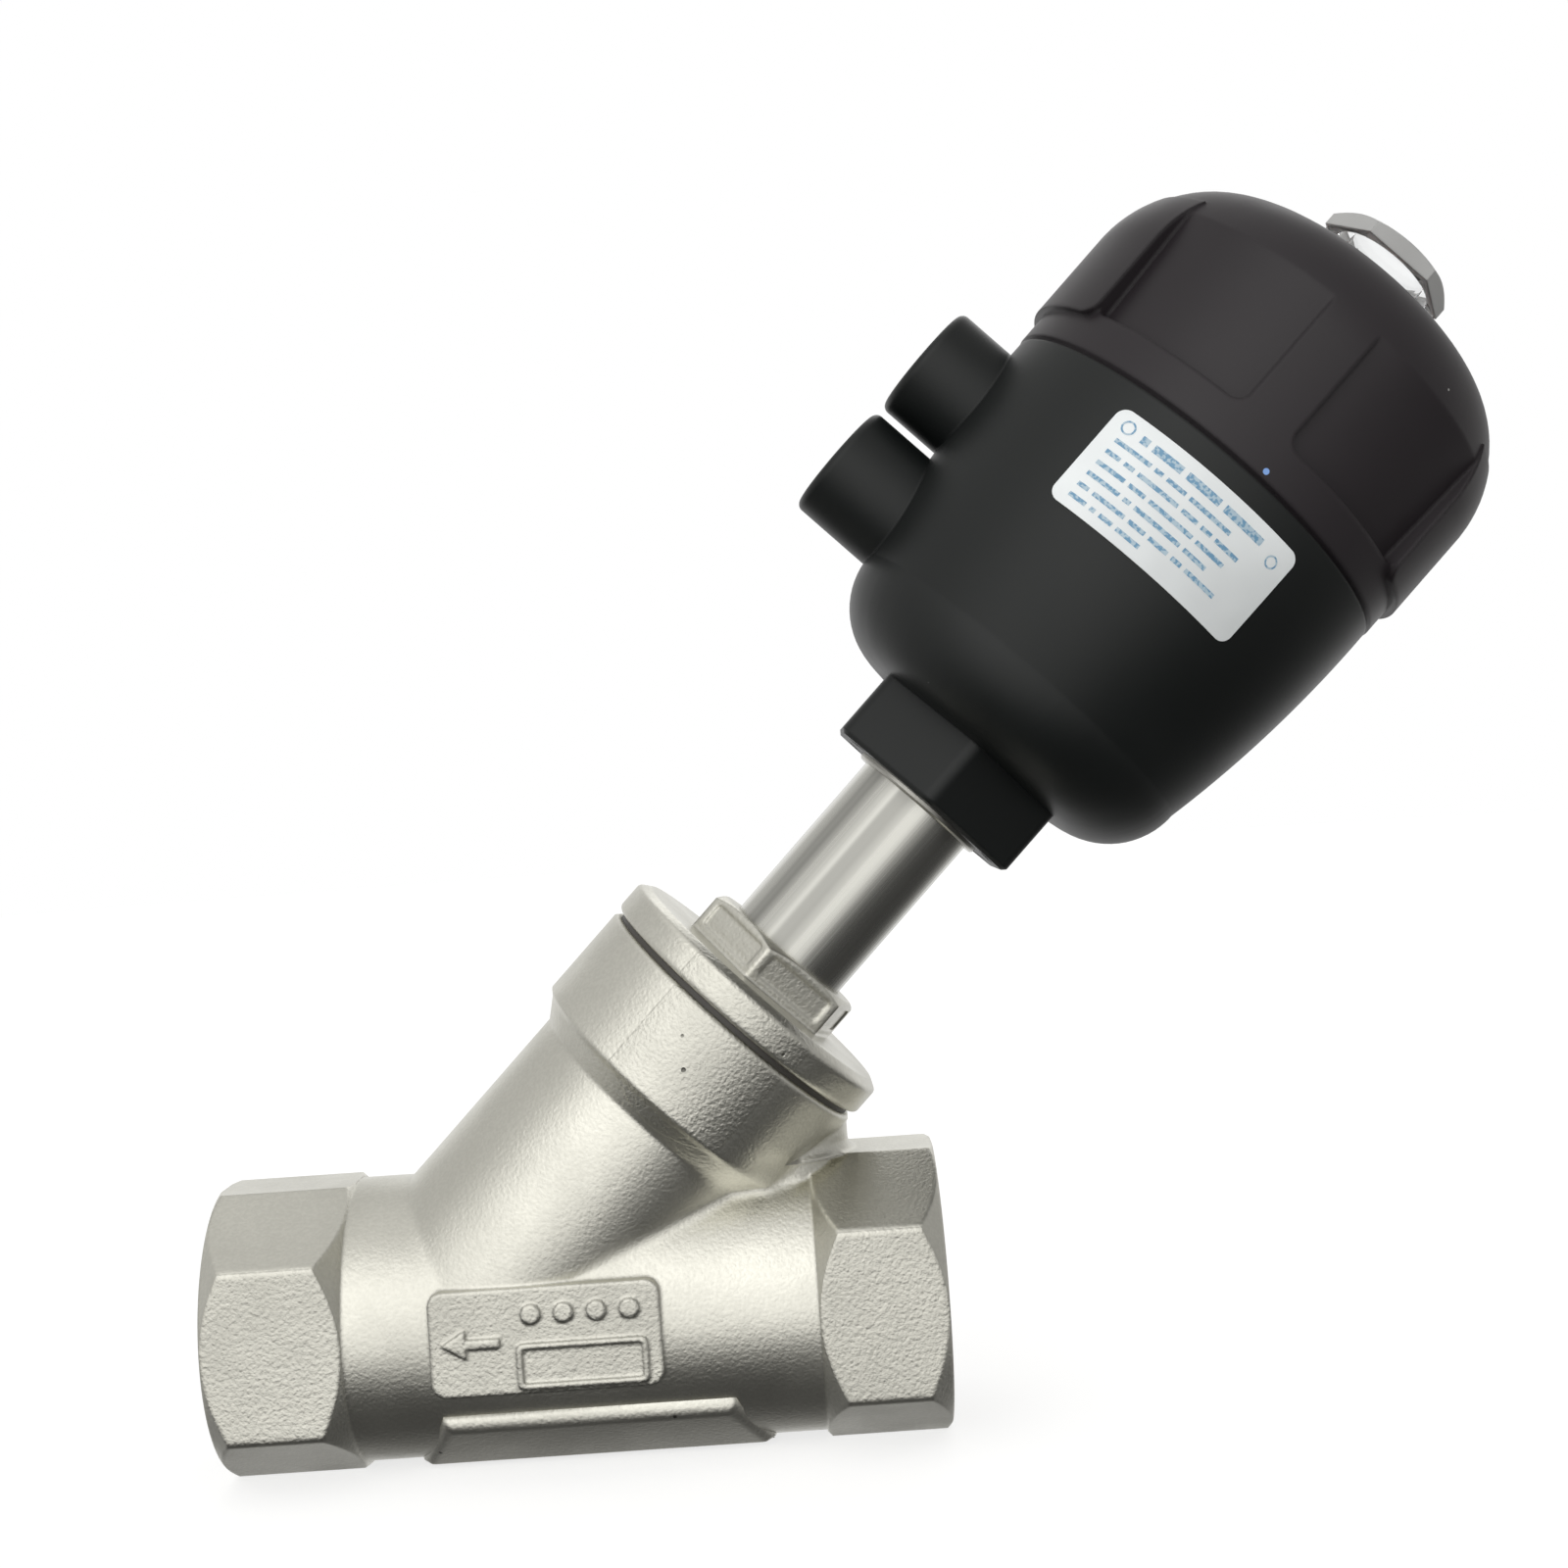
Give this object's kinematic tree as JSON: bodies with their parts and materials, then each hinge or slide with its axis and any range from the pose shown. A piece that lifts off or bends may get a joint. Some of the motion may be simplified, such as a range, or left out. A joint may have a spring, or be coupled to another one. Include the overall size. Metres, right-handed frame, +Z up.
{
  "type": "angle seat valve",
  "caption": "Angle seat valve: Y-shaped stainless body with threaded ends, seat and plug on a leaning stem, driven by a spring-return air piston in a black plastic actuator.",
  "frame": {"origin": "centre of the outlet port's end face, on the pipe axis", "axes": "+X along the pipe from outlet to inlet, +Z up; the stem lies in the XZ plane, 45 degrees from +X towards +Z, and the label faces -Y"},
  "size_m": [0.2352, 0.0815, 0.2167],
  "materials": {
    "cast_stainless": "bead-blasted casting",
    "machined_stainless": "turned, bright",
    "black_polyamide": "glass-filled, fine texture",
    "white_ptfe": "plain",
    "filled_ptfe": "carbon-filled",
    "black_rubber": "moulded",
    "brass_insert": "turned, nickel-free",
    "spring_steel": "drawn wire",
    "cast_aluminium": "machined",
    "indicator_orange": "moulded",
    "clear_polycarbonate": "clear",
    "grey_band": "tinted",
    "white_label": "printed film"
  },
  "bodies": {
    "valve": {"valve_body": "cast_stainless", "body_gasket": "filled_ptfe", "bonnet": "cast_stainless", "bonnet_tube": "machined_stainless", "stem_wiper": "white_ptfe", "guide_bush": "filled_ptfe", "packing_support": "machined_stainless", "packing_rings": "white_ptfe", "packing_follower": "machined_stainless", "packing_spring": "spring_steel", "gland_sleeve": "brass_insert"},
    "stem": {"spindle": "machined_stainless", "plug": "machined_stainless", "seat_seal": "white_ptfe", "seal_washer": "machined_stainless", "seal_screw": "machined_stainless", "piston": "cast_aluminium", "piston_seal": "black_rubber", "piston_guide_ring": "filled_ptfe", "piston_washer": "machined_stainless", "piston_nut": "machined_stainless", "position_indicator": "indicator_orange"},
    "actuator": {"actuator_housing": "black_polyamide", "housing_insert": "machined_stainless", "rod_seal": "black_rubber", "rod_bush": "brass_insert", "control_port_insert": "brass_insert", "vent_port_insert": "brass_insert", "label": "white_label", "actuator_cover": "black_polyamide", "cover_seal": "black_rubber", "outer_spring": "spring_steel", "inner_spring": "spring_steel", "spring_seat": "machined_stainless", "cap_seal": "black_rubber", "indicator_cap": "clear_polycarbonate", "cap_band": "grey_band"}
  },
  "joints": [
    {"name": "stem_lift", "type": "slide", "parent": "valve", "child": "stem", "axis": [0.7071, 0, 0.7071], "range_m": [0, 0.013], "stiffness_N_per_m": 8000, "springref_m": -0.012, "deforming": ["outer_spring", "inner_spring"]},
    {"name": "actuator_swivel", "type": "hinge", "parent": "valve", "child": "actuator", "pos_m": [0.0435, 0, 0], "axis": [0.7071, 0, 0.7071], "continuous": true}
  ]
}
